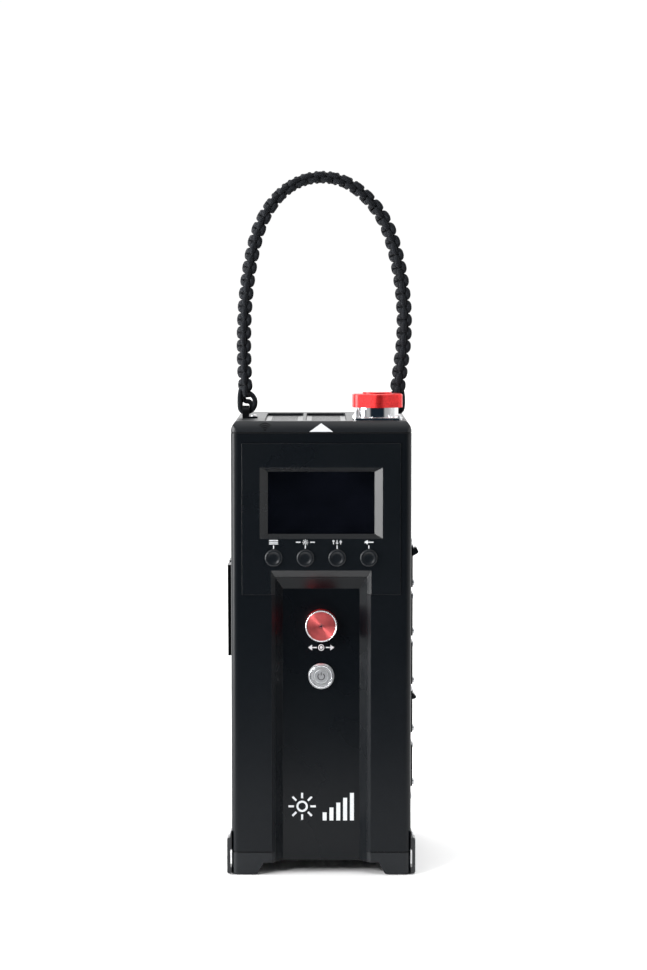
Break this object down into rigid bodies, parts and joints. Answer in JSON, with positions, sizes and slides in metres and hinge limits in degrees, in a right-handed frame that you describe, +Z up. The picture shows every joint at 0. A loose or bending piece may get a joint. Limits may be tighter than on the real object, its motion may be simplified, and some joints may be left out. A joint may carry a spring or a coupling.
{
  "type": "studio light control box",
  "caption": "Tall black control box for a studio light with display, keys, red knob, power switch, red dust cap and woven carry handle.",
  "frame": {"origin": "on the floor under the middle of the box", "axes": "+Z up, -Y out of the front with the display, +X to the right seen from the front"},
  "size_m": [0.1415, 0.1644, 0.5145],
  "materials": {
    "case_paint": "satin black powder coat",
    "cap_plastic": "fine-grained black moulding",
    "panel_plastic": "smooth satin black",
    "trim_gloss": "semi-gloss black",
    "vent_plastic": "matt black",
    "rubber": "matt black rubber",
    "window": "dark tinted window",
    "inner_plastic": "matt black",
    "key_plastic": "satin black",
    "socket_metal": "black anodised",
    "steel": "satin steel",
    "chrome": "bright chrome",
    "red_anodised": "red anodised",
    "rubber_plug": "black rubber",
    "cord_fabric": "woven nylon cord, dark grey-blue",
    "circuit_board": "green solder mask",
    "ferrite": "dark ferrite",
    "bare_aluminium": "plain aluminium",
    "contact_brass": "gold plated",
    "wire_rubber": "black sleeve"
  },
  "bodies": {
    "case": {"body_shell": "case_paint", "top_cap": "cap_plastic", "top_vents": "vent_plastic", "bottom_cap": "cap_plastic", "top_seal": "rubber", "bottom_seal": "rubber", "rubber_feet": "rubber", "case_screws": "steel", "display_panel": "panel_plastic", "display_window": "window", "display_module": "inner_plastic", "key_board": "circuit_board", "control_board": "circuit_board", "channel_trim": "trim_gloss", "encoder_body": "inner_plastic", "power_switch": "steel", "power_nut": "steel", "head_socket": "chrome", "socket_insert": "inner_plastic", "contact_pins": "contact_brass", "tether_post": "steel", "handle_anchor_left": "socket_metal", "handle_anchor_right": "socket_metal", "top_screws": "steel", "wedge_plate": "socket_metal", "side_screws": "steel", "io_panel": "socket_metal", "upper_socket": "socket_metal", "middle_sockets": "socket_metal", "lower_socket": "socket_metal", "mains_inlet": "socket_metal", "io_screws": "steel", "strap_bridges": "panel_plastic", "rear_cover": "case_paint", "fan_frames": "inner_plastic", "chassis": "case_paint", "power_board": "circuit_board", "transformer": "ferrite", "power_parts": "inner_plastic", "driver_board": "circuit_board", "driver_heatsink": "bare_aluminium", "antenna_board": "circuit_board", "cable_loom": "wire_rubber"},
    "menu_key": {"menu_key": "key_plastic"},
    "mode_key": {"mode_key": "key_plastic"},
    "preset_key": {"preset_key": "key_plastic"},
    "back_key": {"back_key": "key_plastic"},
    "knob_push": {"encoder_shaft": "steel"},
    "knob": {"select_knob": "steel", "knob_face": "red_anodised"},
    "power_button": {"power_button": "steel"},
    "cap_core": {"dust_cap_plug": "rubber_plug"},
    "cap": {"dust_cap": "red_anodised"},
    "handle": {"handle_rope": "cord_fabric", "handle_loop_left": "cord_fabric", "handle_loop_right": "cord_fabric"},
    "upper_latch_tab": {"upper_latch_tab": "key_plastic"},
    "lower_latch_tab": {"lower_latch_tab": "key_plastic"},
    "fan_rotor_lower": {"fan_rotor_lower": "inner_plastic"},
    "fan_rotor_upper": {"fan_rotor_upper": "inner_plastic"}
  },
  "joints": [
    {"name": "menu_key_press", "type": "slide", "parent": "case", "child": "menu_key", "axis": [0, 1, 0], "range_m": [0, 0.001], "stiffness_N_per_m": 300, "springref_m": -0.001},
    {"name": "mode_key_press", "type": "slide", "parent": "case", "child": "mode_key", "axis": [0, 1, 0], "range_m": [0, 0.001], "stiffness_N_per_m": 300, "springref_m": -0.001},
    {"name": "preset_key_press", "type": "slide", "parent": "case", "child": "preset_key", "axis": [0, 1, 0], "range_m": [0, 0.001], "stiffness_N_per_m": 300, "springref_m": -0.001},
    {"name": "back_key_press", "type": "slide", "parent": "case", "child": "back_key", "axis": [0, 1, 0], "range_m": [0, 0.001], "stiffness_N_per_m": 300, "springref_m": -0.001},
    {"name": "knob_press", "type": "slide", "parent": "case", "child": "knob_push", "axis": [0, 1, 0], "range_m": [0, 0.0008], "stiffness_N_per_m": 600, "springref_m": -0.001},
    {"name": "knob_turn", "type": "hinge", "parent": "knob_push", "child": "knob", "pos_m": [0, -0.0785, 0.1833], "axis": [0, 1, 0], "continuous": true},
    {"name": "power_press", "type": "slide", "parent": "case", "child": "power_button", "axis": [0, 1, 0], "range_m": [0, 0.002], "stiffness_N_per_m": 400, "springref_m": -0.001},
    {"name": "cap_lift", "type": "slide", "parent": "case", "child": "cap_core", "axis": [0, 0, 1], "range_m": [0, 0.00605]},
    {"name": "cap_unscrew", "type": "hinge", "parent": "cap_core", "child": "cap", "pos_m": [0.0409, -0.05, 0.345], "axis": [0, 0, 1], "range_deg": [0, 720]},
    {"name": "handle_swing", "type": "hinge", "parent": "case", "child": "handle", "pos_m": [0, -0.022, 0.3363], "axis": [1, 0, 0], "range_deg": [-68, 18]},
    {"name": "upper_tab_press", "type": "slide", "parent": "case", "child": "upper_latch_tab", "axis": [-1, 0, 0], "range_m": [0, 0.002], "stiffness_N_per_m": 400, "springref_m": -0.001},
    {"name": "lower_tab_press", "type": "slide", "parent": "case", "child": "lower_latch_tab", "axis": [-1, 0, 0], "range_m": [0, 0.002], "stiffness_N_per_m": 400, "springref_m": -0.001},
    {"name": "lower_fan_spin", "type": "hinge", "parent": "case", "child": "fan_rotor_lower", "pos_m": [0, 0.065, 0.095], "axis": [0, 1, 0], "continuous": true},
    {"name": "upper_fan_spin", "type": "hinge", "parent": "case", "child": "fan_rotor_upper", "pos_m": [0, 0.065, 0.245], "axis": [0, 1, 0], "continuous": true}
  ],
  "couplings": [
    {"joint": "cap_lift", "follows": "cap_unscrew", "m_per_rad": 0.00047746}
  ]
}
